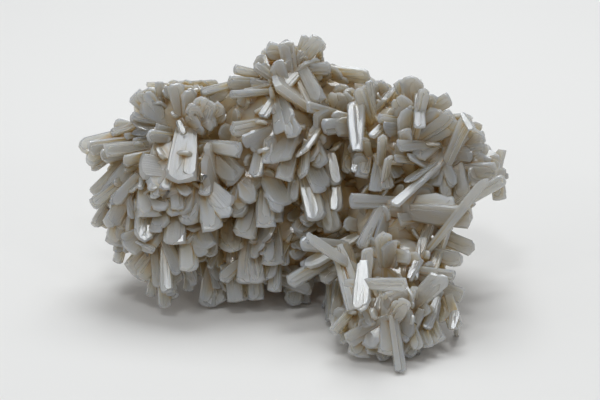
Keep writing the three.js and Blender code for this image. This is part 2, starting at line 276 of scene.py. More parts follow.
def plate_faces(side):
    """The faces of a plate, and which of them are broad, edge or end faces."""
    count = 2 * len(side) + 1
    faces = [tuple(reversed(range(count)))]
    kinds = [BROAD]
    for ring in range(RING_COUNT - 1):
        for i in range(count):
            j = (i + 1) % count
            low, high = ring * count, (ring + 1) * count
            faces.append((low + i, low + j, high + j, high + i))
            at_end = len(side) // 2 <= i <= count - 2 - len(side) // 2
            kinds.append(END if at_end else EDGE)
    faces.append(tuple(range((RING_COUNT - 1) * count, RING_COUNT * count)))
    kinds.append(BROAD)
    return faces, kinds


def plate_points(side, wide, long, thick, roof, draws, rounded=ROUNDED_WIDTH):
    """A plate's points in mm, its tip at the origin and its length along Y."""
    half = wide / 2
    eaves = [roof * draws.uniform(*LOPSIDED) for _ in "lr"]
    left, right = ([(half * s, -long * a - wide * eave * b, t) for s, a, b, t in side] for eave in eaves)
    outline = right + [(0, 0, TIP_THICKNESS)] + [(-x, y, t) for x, y, t in reversed(left)]
    ragged = []
    for x, y, t in outline:
        x += wide * RAGGED * draws.uniform(-1, 0.2) * (1 if x > 0 else -1)
        if abs(y) < wide:
            y -= wide * RAGGED * draws.uniform(0, 1)
        ragged.append((x, y, t))
    slope = rounded * half * 0.6
    inner = [
        (x * (1 - rounded), y - min(slope, long / 4) * (1 if y > -long / 2 else -1), t)
        for x, y, t in ragged
    ]
    levels = [(inner, -thick / 2), (ragged, 0), (inner, thick / 2)]
    return [(x, y, z * t) for ring, z in levels for x, y, t in ring]


# No crystal reaches further than the solids do. One that would is pushed in by as much.
BOX_SPARE = 0.1 * MM
BREAK_DEPTH = 60 * MM
box_low, box_high = (np.array(corner) for corner in cad_box)
box_low = box_low + (BOX_SPARE, BOX_SPARE, -BREAK_DEPTH)
box_high = box_high - BOX_SPARE


def pushed_in(points):
    """A crystal's points, moved so that they lie in the solids' box."""
    too_low = np.maximum(box_low - points.min(axis=0), 0)
    too_high = np.maximum(points.max(axis=0) - box_high, 0)
    return points + too_low - too_high


def plate_shell(side, points, stand):
    """A plate's closed mesh, stood in its place."""
    faces, kinds = plate_faces(side)
    shell = bpy.data.meshes.new("plate")
    stood = pushed_in(np.array([stand @ Vector(p) for p in points]))
    shell.from_pydata(stood.tolist(), [], faces)
    sideways = stand.to_3x3() @ Vector((1, 0, 0))
    across = shell.attributes.new("across", "FLOAT_VECTOR", "FACE")
    across.data.foreach_set("vector", list(sideways.normalized()) * len(faces))
    kind = shell.attributes.new("kind", "FLOAT", "FACE")
    kind.data.foreach_set("value", kinds)
    return shell


def crystal_shells(tip, along, facing, wide, long, roof, turn, draws, ribs=0):
    """The plates of one crystal: a thin one as wide as all of it, and the ribs grown on it."""
    normal = (facing - along * facing.dot(along)).normalized()
    normal = Matrix.Rotation(turn, 3, along) @ normal
    sideways = along.cross(normal)
    stand = Matrix((sideways, along, normal)).transposed().to_4x4()
    stand = Matrix.Translation(tip) @ stand @ Matrix.Scale(MM, 4)
    thick = THICKNESS_LEAST + THICKNESS_SHARE * wide
    points = plate_points(LARGE_SIDE, wide, long, thick * 0.6, roof, draws)
    shells = [plate_shell(LARGE_SIDE, points, stand)]
    ribs = ribs or max(2, round(wide / RIB_WIDTH))
    for i in range(ribs):
        rib_wide = wide / ribs * draws.uniform(*RIB_SWELL)
        room = (wide - rib_wide) / 2
        off = ((i + 0.5) / ribs - 0.5) * wide * draws.uniform(0.85, 1.1)
        off = min(max(off, -room), room)
        outer = 2 * off / wide
        back = -wide * (0.9 * roof * abs(outer) + draws.choice(RIB_SETBACKS))
        fan = Matrix.Rotation(math.radians(draws.uniform(-1, 1) - RIB_FAN * outer), 4, "Z")
        tilt = Matrix.Rotation(math.radians(draws.uniform(-1.5, 1.5)), 4, "X")
        shift = Matrix.Translation((off, back, thick * draws.uniform(-0.12, 0.12)))
        rib_thick = thick * draws.uniform(*RIB_THICKNESS) * (1 - 0.3 * outer * outer)
        rib_roof = max(roof, draws.uniform(0.15, 0.6))
        points = plate_points(LARGE_SIDE, rib_wide, long * 0.95, rib_thick, rib_roof, draws)
        shells.append(plate_shell(LARGE_SIDE, points, stand @ shift @ fan @ tilt))
    return shells


# The crystals of the front
# The laths that make the cluster's face. Each stands with its root in the heart and its
# tip where the picture has it, and hides what is behind it.
# Each row: the picture place of the tip, the heading in degrees clockwise from the top of
# the picture, the width and length in mm, the lean towards the eye and the turn about its
# own length in degrees, the lift off the heart in mm, and the roof's height as a share of
# the width.
LEFT_LOBE = [
    (219, 84, 87, 3.0, 17, 10, 20, -1, 0.2),
    (160, 81, 5, 2.8, 10, 5, 0, 0, 0.1),
    (133, 94, 315, 5.0, 13, 5, 10, 0, 0.1),
    (131, 115, 285, 2.8, 11, 10, 20, 0, 0.3),
    (149, 87, 350, 4.0, 10, 10, 0, 1, 0.1),
    (175, 83, 350, 5.0, 10, 5, 10, -2, 0.1),
    (113, 124, 285, 4.2, 14, -5, 0, -6, 0.2),
    (78, 148, 256, 5.5, 20, 5, 15, 0, 0.3),
    (86, 163, 240, 4.5, 18, 10, 20, 1, 0.2),
    (87, 149, 262, 4.5, 15, 12, 0, 3, 0.3),
    (91, 171, 232, 4.0, 15, 5, 60, -1, 0.3),
    (104, 151, 262, 4.2, 13, 25, 10, 3, 0.1),
    (146, 136, 275, 4.0, 10, 35, 0, 4, 0.3),
    (154, 171, 190, 4.6, 11, 35, 0, 1, 0.3),
    (180, 184, 187, 9.0, 16, 25, 0, 3, 0.16),
    (239, 181, 135, 7.4, 17, 20, 0, 3, 0.12),
    (243, 150, 97, 4.8, 14, 20, 0, 3, 0.3),
    (145, 243, 180, 6.3, 13, 22, 0, 1, 0.45),
    (149, 218, 178, 7.0, 13, 35, 0, 4, 0.08),
    (106, 229, 190, 6.4, 13, 15, 5, 2, 0.3),
    (124, 231, 180, 5.0, 13, 12, 0, 1, 0.2),
    (92, 195, 225, 4.6, 14, 5, 40, 0, 0.2),
    (91, 206, 232, 4.0, 13, 5, 25, 1, 0.2),
    (94, 228, 212, 4.2, 14, 5, 30, -1, 0.3),
    (115, 247, 195, 7.0, 14, 5, 5, 1, 0.1),
    (117, 264, 195, 3.2, 14, 0, 0, -1, 0.2),
    (113, 251, 240, 3.0, 12, 0, 0, -1, 0.3),
    (133, 277, 217, 8.6, 15, 0, 0, 0, 0.12),
    (150, 297, 195, 3.0, 13, 0, 0, 0, 0.1),
    (165, 309, 178, 3.8, 16, 8, 0, 2, 0.35),
    (174, 299, 165, 3.6, 13, 5, 10, 1, 0.2),
    (167, 294, 178, 3.8, 19, 12, 15, 4, 0.2),
    (158, 288, 175, 3.4, 18, 10, 20, 2, 0.2),
    (174, 246, 185, 6.4, 12, 25, 0, 1, 0.2),
    (187, 226, 190, 6.0, 14, 28, 0, 3, 0.35),
    (178, 211, 175, 4.0, 11, 25, 0, 2, 0.3),
    (183, 243, 216, 4.2, 14, 25, 35, 4, 0.2),
    (213, 232, 170, 6.4, 14, 30, 0, 1, 0.12),
    (231, 254, 180, 7.2, 14, 28, 0, 3, 0.3),
    (210, 258, 185, 4.4, 12, 25, 0, 1, 0.3),
    (190, 272, 175, 5.6, 13, 32, 0, 2, 0.25),
    (124, 137, 265, 2.6, 9, 30, 30, 2, 0.2),
    (125, 166, 215, 2.4, 9, 40, 0, 2, 0.2),
    (148, 190, 240, 2.6, 10, 30, 20, 3, 0.3),
    (140, 190, 200, 2.0, 7, 35, 10, 1, 0.3),
    (155, 199, 182, 3.2, 9, 30, 10, 2, 0.25),
    (204, 196, 190, 3.6, 10, 20, 0, 0, 0.2),
    (209, 269, 205, 2.2, 8, 30, 0, 2, 0.3),
    (158, 258, 125, 3.6, 8, 30, 75, 2, 0.1),
    (110, 134, 250, 3.4, 14, 8, 50, 1, 0.2),
]
MIDDLE_FRONT = [
    (243, 239, 195, 7.0, 15, 25, 0, 4, 0.25),
    (266, 228, 178, 5.6, 15, 33, 0, 5, 0.06),
    (234, 218, 195, 7.4, 15, 25, 0, 1, 0.3),
    (244, 285, 185, 5.0, 14, 15, 0, 2, 0.15),
    (258, 284, 172, 5.0, 13, 20, 0, 4, 0.1),
    (273, 266, 178, 6.6, 13, 30, 0, 2, 0.06),
    (207, 308, 187, 5.2, 14, 5, 0, 1, 0.2),
    (218, 305, 165, 6.0, 14, 15, 0, 3, 0.15),
    (236, 303, 175, 5.0, 15, 10, 0, 1, 0.1),
    (245, 301, 168, 4.0, 13, 0, 10, 0, 0.3),
    (256, 301, 178, 4.8, 14, 0, 0, -2, 0.05),
    (274, 293, 185, 4.2, 11, 15, 15, 1, 0.1),
    (293, 307, 185, 5.4, 14, 5, 0, 1, 0.3),
    (306, 304, 170, 2.8, 11, 0, 0, 0, 0.1),
    (313, 291, 110, 4.0, 12, 15, 10, 1, 0.3),
    (188, 292, 185, 3.0, 12, 0, 0, -2, 0.1),
    (283, 181, 195, 5.4, 15, 20, 0, 4, 0.06),
    (303, 178, 185, 4.0, 15, 15, 55, 5, 0.2),
    (291, 203, 188, 4.0, 11, 25, 0, 3, 0.3),
    (318, 222, 165, 6.0, 21, 20, 0, 4, 0.2),
    (334, 233, 165, 5.6, 19, 18, 0, 3, 0.15),
    (303, 225, 222, 4.4, 10, 33, 0, 6, 0.3),
    (295, 232, 222, 4.4, 10, 28, 0, 3, 0.2),
    (322, 168, 160, 5.0, 13, 25, 0, 3, 0.3),
    (335, 187, 170, 5.0, 12, 18, 0, 1, 0.3),
    (348, 174, 180, 3.8, 10, 25, 0, 1, 0.35),
    (291, 258, 230, 4.0, 11, 25, 0, 2, 0.3),
    (299, 243, 275, 4.4, 15, 15, 15, 2, 0.2),
    (288, 284, 238, 4.4, 17, 15, 10, 2, 0.2),
    (321, 282, 228, 4.6, 15, 10, 10, 3, 0.2),
    (336, 252, 50, 4.0, 9, 30, 0, 5, 0.2),
    (254, 244, 180, 3.4, 10, 25, 0, 1, 0.2),
    (254, 259, 185, 2.6, 9, 30, 10, 3, 0.3),
    (285, 266, 180, 2.6, 10, 20, 0, 3, 0.15),
    (350, 233, 70, 1.6, 7, 15, 30, 2, 0.2),
    (220, 281, 228, 4.0, 10, 30, 0, 4, 0.3),
    (301, 223, 235, 5.0, 12, 20, 0, 3, 0.3),
    (294, 233, 245, 4.6, 14, 10, 0, 1, 0.2),
]
UPPER_RIDGE = [
    (265, 50, 283, 5.4, 15, 10, 0, 1, 0.08),
    (285, 41, 348, 5.0, 12, 5, 10, 0, 0.08),
    (321, 37, 42, 5.2, 15, 5, 0, 1, 0.15),
    (306, 35, 20, 2.6, 12, 5, 0, 0, 0.2),
    (324, 55, 100, 3.0, 12, 0, 10, -1, 0.3),
    (332, 68, 85, 4.0, 12, 10, 0, 1, 0.2),
    (227, 83, 272, 4.6, 16, 10, 0, 2, 0.15),
    (233, 69, 282, 3.2, 14, 5, 20, 1, 0.1),
    (254, 65, 305, 3.2, 11, 0, 0, -3, 0.2),
    (229, 95, 265, 2.6, 13, 15, 10, 2, 0.2),
    (283, 88, 222, 4.0, 17, 12, 25, 6, 0.2),
    (317, 105, 155, 6.6, 16, 25, 0, 6, 0.18),
    (371, 77, 97, 4.6, 17, 8, 15, 2, 0.3),
    (369, 80, 352, 2.4, 13, 15, 20, 3, 0.2),
    (389, 85, 55, 5.0, 13, 0, 0, -1, 0.1),
    (357, 88, 340, 3.4, 10, 30, 0, 2, 0.3),
    (306, 106, 285, 3.4, 15, 20, 15, 4, 0.1),
    (321, 128, 262, 5.0, 13, 20, 0, 2, 0.3),
    (229, 131, 258, 4.8, 14, 20, 0, 4, 0.3),
    (255, 178, 190, 4.2, 14, 20, 0, 2, 0.3),
    (297, 137, 150, 5.0, 12, 25, 0, 2, 0.25),
    (317, 121, 165, 2.6, 8, 35, 0, 4, 0.2),
    (200, 93, 255, 3.0, 10, 20, 20, 1, 0.2),
    (262, 118, 215, 3.2, 10, 25, 20, 2, 0.2),
]
RIGHT_LOBE = [
    (411, 75, 355, 6.6, 17, 8, 0, 3, 0.3),
    (398, 80, 335, 4.0, 14, 8, 10, 1, 0.1),
    (425, 88, 12, 3.6, 16, 12, 35, 2, 0.2),
    (420, 129, 178, 3.6, 14, 10, 0, 6, 0.1),
    (451, 98, 60, 4.2, 14, 0, 0, 0, 0.1),
    (433, 94, 20, 3.6, 11, 12, 10, 1, 0.1),
    (454, 114, 55, 4.4, 15, -5, 0, -5, 0.2),
    (469, 115, 25, 4.2, 18, 18, 0, 5, 0.3),
    (482, 132, 48, 5.6, 14, 0, 0, -2, 0.1),
    (486, 147, 80, 4.0, 13, 0, 0, -3, 0.3),
    (502, 160, 77, 5.2, 15, 8, 0, 2, 0.3),
    (506, 178, 60, 3.6, 12, 5, 0, 1, 0.3),
    (500, 201, 172, 4.2, 12, 5, 10, 1, 0.1),
    (467, 175, 268, 6.0, 11, 35, 0, 3, 0.2),
    (498, 170, 92, 4.6, 13, 20, 20, 3, 0.1),
    (471, 209, 160, 3.8, 13, 18, 0, 3, 0.35),
    (445, 198, 180, 3.8, 13, 25, 0, 3, 0.35),
    (393, 206, 228, 3.2, 20, 10, 35, 6, 0.2),
    (362, 137, 345, 4.0, 10, 20, 0, 4, 0.3),
    (383, 134, 4, 3.2, 15, 28, 25, 4, 0.35),
    (362, 179, 190, 4.4, 11, 20, 0, 2, 0.15),
    (476, 159, 180, 3.2, 8, 35, 0, 1, 0.3),
    (393, 158, 280, 2.6, 13, 15, 30, 3, 0.2),
    (371, 138, 225, 2.8, 13, 15, 30, 3, 0.2),
    (377, 118, 278, 3.0, 14, 15, 20, 3, 0.2),
    (404, 150, 200, 3.4, 10, 20, 20, 2, 0.2),
    (397, 146, 268, 3.8, 14, 10, 15, 2, 0.2),
    (388, 190, 172, 4.0, 12, 15, 0, 1, 0.2),
    (434, 187, 192, 4.6, 11, 20, 0, 1, 0.1),
    (375, 192, 188, 3.8, 15, 15, 0, 2, 0.12),
    (404, 128, 350, 4.2, 12, 20, 0, 0, 0.2),
]
LEG = [
    (474, 218, 95, 6.2, 25, 8, 8, 2, 0.3),
    (398, 220, 262, 4.0, 15, 15, 10, 3, 0.1),
    (433, 203, 280, 2.6, 11, 20, 20, 6, 0.2),
    (475, 250, 112, 4.6, 14, 5, 0, 1, 0.3),
    (464, 262, 106, 4.6, 14, 5, 0, 2, 0.3),
    (456, 277, 100, 3.6, 14, 0, 0, -1, 0.2),
    (383, 231, 356, 5.0, 11, 30, 0, 3, 0.45),
    (360, 250, 205, 4.0, 14, 15, 10, 1, 0.2),
    (416, 280, 186, 1.6, 10, 12, 75, 4, 0.3),
    (368, 247, 4, 3.6, 14, 15, 20, 2, 0.2),
    (417, 259, 200, 3.4, 16, 10, 15, 2, 0.4),
    (429, 280, 199, 3.4, 17, 10, 15, 3, 0.4),
    (411, 258, 100, 4.0, 13, 10, 0, 1, 0.2),
    (408, 285, 92, 3.7, 18, 5, 0, 2, 0.3),
    (348, 201, 272, 4.6, 20, 5, 15, 1, 0.2),
]
FOOT = [
    (329, 321, 180, 2.4, 16, 0, 60, -1, 0.1),
    (338, 323, 185, 5.6, 15, 5, 0, 0, 0.1),
    (332, 333, 222, 3.0, 13, 5, 0, 0, 0.2),
    (358, 358, 193, 6.4, 15, 10, 0, 0, 0.08),
    (346, 342, 240, 4.6, 14, 5, 0, 0, 0.3),
    (391, 356, 178, 6.9, 17, 20, 0, 4, 0.25),
    (385, 361, 165, 4.0, 14, 0, 0, 0, 0.2),
    (401, 373, 172, 3.2, 17, 5, 0, 1, 0.35),
    (410, 358, 175, 4.4, 15, 5, 0, 0, 0.3),
    (419, 350, 160, 3.8, 13, 20, 0, 3, 0.25),
    (429, 348, 163, 3.4, 14, 0, 0, -1, 0.2),
    (440, 343, 155, 4.0, 15, 0, 0, -1, 0.1),
    (456, 330, 165, 4.2, 16, 5, 0, 0, 0.15),
    (464, 297, 113, 4.4, 15, 0, 0, -4, 0.1),
    (457, 289, 75, 5.0, 13, 8, 0, -2, 0.15),
    (426, 330, 200, 3.0, 12, 20, 20, 4, 0.3),
    (398, 322, 150, 5.0, 12, 30, 0, 5, 0.3),
    (352, 312, 165, 3.0, 10, 20, 0, 1, 0.2),
    (428, 315, 150, 3.0, 14, 20, 15, 4, 0.2),
    (407, 299, 30, 4.0, 10, 20, 0, 0, 0.2),
    (370, 328, 160, 4.0, 12, 20, 0, 1, 0.2),
]
STAND_OFF = 2
ROOT_DEPTH = 3
HELD_SPREAD = 0.75
FLOOR_STEP = 0.25
NEAREST = 50
LONGEST = 30
MIDDLE_RISE = 0.5
STEEPEST = 0.8
END_RISE = 0.15
GRIP_SHARE = 1
SINKS = [0, 1, 2, 3, 4, 5, 6, 7, 8, 9, 10, 12, 14]
draws = np.random.default_rng(21)


def front_shells(row, draws, ribs=0):
    """The plates of a crystal of the front, its root held by the heart and its tip off the floor."""
    x, y, heading, wide, long, lean, turn, lift, roof = row
    angle = math.radians(heading)

    def back(length):
        step = length * MM / PICTURE_STEP
        return x - step * math.sin(angle), y + step * math.cos(angle)

    def held(length):
        return any(spread(*back(length), lump) < HELD_SPREAD for lump in LUMPS)

    lengths = [length for length in np.arange(long, LONGEST) if held(length)]
    length = lengths[0] if lengths else long
    root_near = nearness(*back(length)) - ROOT_DEPTH
    tip_near = nearness(x, y) + STAND_OFF + lift
    sunk = nearness(*back(length / 2)) + MIDDLE_RISE - (root_near + tip_near) / 2
    root_near += max(0, sunk)
    tip_near += max(0, sunk)
    tip_near = max(tip_near, root_near + length * math.tan(math.radians(lean)))
    root_near = max(root_near, tip_near - length * STEEPEST)

    def gripped(sink):
        waist = place(*back(0.6 * length), 0.6 * root_near + 0.4 * tip_near - sink)
        root = place(*back(length), root_near - sink)
        return inside_heart(waist, GRIP_SHARE) or inside_heart(root, GRIP_SHARE)

    sink = next((sink for sink in SINKS if gripped(sink)), 0)
    root_near -= sink
    tip_near -= sink
    while place(x, y, tip_near).z < END_RISE * wide * MM and tip_near < NEAREST:
        tip_near += FLOOR_STEP
        root_near += FLOOR_STEP / 2
    root = place(*back(length), root_near)
    tip = place(x, y, tip_near)
    along = tip - root
    length = along.length / MM
    along.normalize()
    turn = math.radians(turn)
    return crystal_shells(tip, along, TO_EYE, wide, length, roof, turn, draws, ribs)


# Beside and behind each of them one more shows, set back and slanted.
SISTER_ASIDE = (0.5, 0.9)
SISTER_SETBACK = (0.1, 0.4)
SISTER_SPREAD = (8, 38)
SISTER_DEPTH = (1, 2.6)
SISTER_SIZE = (0.6, 0.95)
SISTER_TURN = 40


def least_spread(x, y):
    return min(spread(x, y, lump) for lump in LUMPS)


def sister_row(row, draws):
    """The row of the crystal that grew beside one, or none where it would reach out further."""
    x, y, heading, wide, long, lean, turn, lift, roof = row
    angle = math.radians(heading)
    aside = wide * draws.uniform(*SISTER_ASIDE) * MM / PICTURE_STEP
    back = long * draws.uniform(*SISTER_SETBACK) * MM / PICTURE_STEP
    back_x, back_y = x - back * math.sin(angle), y + back * math.cos(angle)
    tips = {s: (back_x + s * aside * math.cos(angle), back_y + s * aside * math.sin(angle)) for s in (-1, 1)}
    side = min(tips, key=lambda s: least_spread(*tips[s]))
    if least_spread(*tips[side]) > least_spread(x, y):
        return None
    return (
        *tips[side],
        heading + side * draws.uniform(*SISTER_SPREAD) * draws.choice((0.4, 1)),
        wide * draws.uniform(*SISTER_SIZE),
        long * draws.uniform(*SISTER_SIZE),
        lean,
        turn + side * draws.uniform(0, SISTER_TURN),
        lift - draws.uniform(*SISTER_DEPTH),
        draws.uniform(0.1, 0.5),
    )


# Shorter ones that fill the upper edge of the left lobe and the hollow right of the peak.
FILLING = [
    (200, 96, 350, 5.0, 10, 20, 10, 0, 0.3),
    (212, 100, 20, 5.0, 10, 20, -15, 0, 0.3),
    (224, 106, 60, 4.5, 10, 15, 10, 0, 0.2),
    (190, 104, 330, 5.0, 10, 25, -10, 0, 0.3),
    (206, 119, 165, 5.0, 9, 25, 0, 0, 0.4),
    (217, 126, 120, 5.0, 10, 20, 10, 0, 0.3),
    (340, 83, 350, 5.0, 10, 20, 0, 0, 0.3),
    (352, 87, 15, 5.0, 10, 20, 15, 0, 0.3),
    (332, 93, 320, 4.5, 9, 25, -10, 0, 0.3),
    (365, 97, 45, 5.0, 10, 20, 10, 0, 0.3),
    (345, 108, 190, 4.5, 9, 25, 0, 0, 0.4),
]
FRONT = LEFT_LOBE + MIDDLE_FRONT + UPPER_RIDGE + RIGHT_LOBE + LEG + FOOT + FILLING
shells = [shell for row in FRONT for shell in front_shells(row, draws)]
for row in FRONT:
    sister = sister_row(row, draws)
    if sister:
        shells += front_shells(sister, draws, 1)

# The mirror crystals
# Laths whose broad faces happen to stand where they throw the front lamp straight back.
# They lie on the cluster's face. Each row: the tip's picture place, its heading, width,
# length and roof, and how many of five places under it may stand out past it.
MIRRORS = [
    (356, 100, 358, 5.4, 15, 0.2, 0),
    (337, 213, 176, 4.2, 9, 0.3, 0),
    (360, 311, 180, 5.2, 14, 0.45, 1),
    (420, 257, 20, 3.0, 7, 0.3, 1),
    (471, 131, 150, 2.4, 6, 0.3, 1),
    (456, 309, 10, 3.0, 6, 0.3, 0),
    (184, 136, 160, 2.4, 5, 0.3, 1),
    (157, 250, 118, 1.8, 6, 0.3, 1),
]
MIRROR_LIFT = 0.3
STEM_LENGTH = 14
LAMP_SPOT = Vector(LAMPS[0][0])
EYE_SPOT = MIDDLE + TO_EYE * SIGHT_DISTANCE


def mirror_shells(row, tree, draws):
    """The plates of a mirror crystal, laid on what is under it, and behind a lath that crosses it."""
    x, y, heading, wide, long, roof, past = row
    angle = math.radians(heading)
    first = tree.ray_cast(EYE_SPOT, (place(x, y, 0) - EYE_SPOT).normalized())[0]
    facing = ((EYE_SPOT - first).normalized() + (LAMP_SPOT - first).normalized()).normalized()
    along = ACROSS * math.sin(angle) + UPWARD * math.cos(angle)
    along = (along - facing * along.dot(facing)).normalized()
    tip = place(x, y, (first - MIDDLE).dot(TO_EYE) / MM)
    heights = []
    for share in (0.15, 0.35, 0.5, 0.65, 0.85):
        under = tip - along * share * long * MM
        hit = tree.ray_cast(EYE_SPOT, (under - EYE_SPOT).normalized())[0]
        heights.append((hit - under).dot(facing) if hit else 0)
    height = sorted(heights, reverse=True)[past]
    tip += TO_EYE * (height + MIRROR_LIFT * MM) / facing.dot(TO_EYE)
    middle = tip - along * long / 2 * MM
    shells = crystal_shells(tip, along, facing, wide, long, roof, 0, draws)
    return shells + crystal_shells(middle, facing, along, wide / 2, STEM_LENGTH, 0, 0, draws, 1)


# The crystals of the back and the top
# Out of sight from the front the same laths stand all over the heart. Their tips lie on a
# spiral round each lump, and each leans away from the middle of the lump's back, as flat
# as it can with its root still in the heart.
RULED_SPACING = 56
RULED_REACH = 2.2
RULED_OVERHANG = 2
RULED_LIMIT = 0.1
RULED_TOP = 0.3
RULED_GRIP = 0.93
RULED_LOWEST = 3
RULED_WIDTH = (6, 10)
RULED_LENGTH = (12, 16)
RULED_ROOF = (0.4, 0.1)
RULED_SWING = 70
RULED_TURN = 17
RULED_RISES = (20, 28, 36, 44, 52, 60)
GOLDEN_TURN = math.pi * (3 - math.sqrt(5))


def between(ends, share):
    return ends[0] + (ends[1] - ends[0]) * share


def variation(i, lump_number):
    """A number from 0 to 1 that changes from one ruled crystal to the next without a pattern."""
    return (1 + math.sin(12.9 * (i + 1) + 3.1 * lump_number)) / 2


def ruled_shells(lump, lump_number, draws):
    """The plates of the crystals that stand on a lump by the rule."""
    wide, high, deep = lump[3:]
    count = math.floor((wide * high + high * deep + deep * wide) / RULED_SPACING + 0.5)
    made = []
    for i in range(count):
        to_eye = 1 - (2 * i + 1) / count
        ring = math.sqrt(1 - to_eye * to_eye)
        bearing = GOLDEN_TURN * (i + 7 * lump_number)
        if to_eye > RULED_LIMIT and ring * math.sin(bearing) < RULED_TOP:
            continue
        vary = variation(i, lump_number)
        outward = ACROSS * math.cos(bearing) + UPWARD * math.sin(bearing)
        radial = outward * ring + TO_EYE * to_eye
        skin = place(*lump[:3]) + TO_EYE * to_eye * deep * MM
        skin += ACROSS * wide * ring * math.cos(bearing) * MM
        skin += UPWARD * high * ring * math.sin(bearing) * MM
        flat = (outward - radial * outward.dot(radial)).normalized()
        flat = Matrix.Rotation(math.radians(RULED_SWING * (2 * vary - 1)), 3, radial) @ flat
        long = between(RULED_LENGTH, vary)
        for rise in RULED_RISES:
            along = flat * math.cos(math.radians(rise)) + radial * math.sin(math.radians(rise))
            tip = skin + radial * RULED_REACH * MM + along * RULED_OVERHANG * MM
            if inside_heart(tip - along * long * MM, RULED_GRIP):
                break
        else:
            continue
        if inside_heart(tip, 1) or tip.z < RULED_LOWEST * MM:
            continue
        width = between(RULED_WIDTH, vary)
        roof = between(RULED_ROOF, vary)
        turn = math.radians(RULED_TURN * (2 * vary - 1))
        made += crystal_shells(tip, along, radial, width, long, roof, turn, draws, 1)
    return made


for lump_number, lump in enumerate(LUMPS):
    shells += ruled_shells(lump, lump_number, draws)

# The small crystals
# Short laths fill every gap between the large ones, standing out from the heart at all
# slants. They are strewn over the heart's skin.
SMALL_SPACING = 4.5
SMALL_SLANT = 55
SMALL_WIDTH = (2.6, 5.4)
SMALL_LENGTH = (5.5, 9)
SMALL_THICKNESS = (0.9, 1.5)
SMALL_ROOTED = 0.5
SMALL_SHIFT = 4 * MM
SMALL_ROUNDED = 0.15
SMALL_SEED = 7

SMALL_FACES, SMALL_KINDS = plate_faces(SMALL_SIDE)
SMALL_FACES = [tuple(reversed(face)) for face in SMALL_FACES]


def small_crystal_object(draws):
    """A plate one unit wide, long and thick, with its middle at the origin, stood on Z."""
    unit = plate_points(SMALL_SIDE, 1, 1, 1, 0.2, draws, SMALL_ROUNDED)
    points = [(x, z, y + 1 - SMALL_ROOTED) for x, y, z in unit]
    mesh = bpy.data.meshes.new("small_crystal")
    mesh.from_pydata(points, [], SMALL_FACES)
    return bpy.data.objects.new("small_crystal", mesh)


def strewing_tree(crystal, material):
    """Strews crystals over a surface: a spacing, a slant and two corners of a size range."""
    tree = bpy.data.node_groups.new("strewn_crystals", "GeometryNodeTree")
    sockets = tree.interface
    sockets.new_socket("Geometry", in_out="INPUT", socket_type="NodeSocketGeometry")
    for name, kind in (
        ("Spacing", "NodeSocketFloat"),
        ("Slant", "NodeSocketFloat"),
        ("Least", "NodeSocketVector"),
        ("Most", "NodeSocketVector"),
        ("Seed", "NodeSocketInt"),
    ):
        sockets.new_socket(name, in_out="INPUT", socket_type=kind)
    sockets.new_socket("Geometry", in_out="OUTPUT", socket_type="NodeSocketGeometry")
    node = {}
    for name, kind in (
        ("given", "NodeGroupInput"),
        ("strew", "GeometryNodeDistributePointsOnFaces"),
        ("turned", "FunctionNodeRandomValue"),
        ("leaning", "FunctionNodeRandomValue"),
        ("size", "FunctionNodeRandomValue"),
        ("turn", "ShaderNodeCombineXYZ"),
        ("lean", "ShaderNodeCombineXYZ"),
        ("spun", "FunctionNodeRotateEuler"),
        ("crystal", "GeometryNodeObjectInfo"),
        ("stand", "GeometryNodeInstanceOnPoints"),
        ("local", "GeometryNodeRotateInstances"),
        ("realize", "GeometryNodeRealizeInstances"),
        ("finish", "GeometryNodeSetMaterial"),
        ("made", "NodeGroupOutput"),
    ):
        node[name] = tree.nodes.new(kind)
    node["strew"].distribute_method = "POISSON"
    node["strew"].inputs["Density Max"].default_value = 4e5
    node["size"].data_type = "FLOAT_VECTOR"
    node["crystal"].inputs["Object"].default_value = crystal
    node["finish"].inputs["Material"].default_value = material
    node["turned"].inputs[2].default_value = -math.pi
    node["turned"].inputs[3].default_value = math.pi
    tree.nodes.remove(node.pop("spun"))
    link = tree.links.new
    given = node["given"].outputs
    link(given["Geometry"], node["strew"].inputs["Mesh"])
    link(given["Spacing"], node["strew"].inputs["Distance Min"])
    for name in ("strew", "turned", "leaning", "size"):
        link(given["Seed"], node[name].inputs["Seed"])
    link(given["Slant"], node["leaning"].inputs[3])
    link(given["Least"], node["size"].inputs[0])
    link(given["Most"], node["size"].inputs[1])
    link(node["leaning"].outputs[1], node["lean"].inputs["X"])
    link(node["turned"].outputs[1], node["turn"].inputs["Z"])
    link(node["strew"].outputs["Points"], node["stand"].inputs["Points"])
    link(node["crystal"].outputs["Geometry"], node["stand"].inputs["Instance"])
    link(node["strew"].outputs["Rotation"], node["stand"].inputs["Rotation"])
    link(node["size"].outputs[0], node["stand"].inputs["Scale"])
    link(node["stand"].outputs["Instances"], node["local"].inputs["Instances"])
    link(node["turn"].outputs["Vector"], node["local"].inputs["Rotation"])
    lean_node = tree.nodes.new("GeometryNodeRotateInstances")
    link(node["local"].outputs["Instances"], lean_node.inputs["Instances"])
    link(node["lean"].outputs["Vector"], lean_node.inputs["Rotation"])
    link(lean_node.outputs["Instances"], node["realize"].inputs["Geometry"])
    link(node["realize"].outputs["Geometry"], node["finish"].inputs["Geometry"])
    link(node["finish"].outputs["Geometry"], node["made"].inputs["Geometry"])
    return tree


def set_input(modifier, name, value):
    for item in modifier.node_group.interface.items_tree:
        if item.name == name and item.in_out == "INPUT":
            modifier[item.identifier] = value


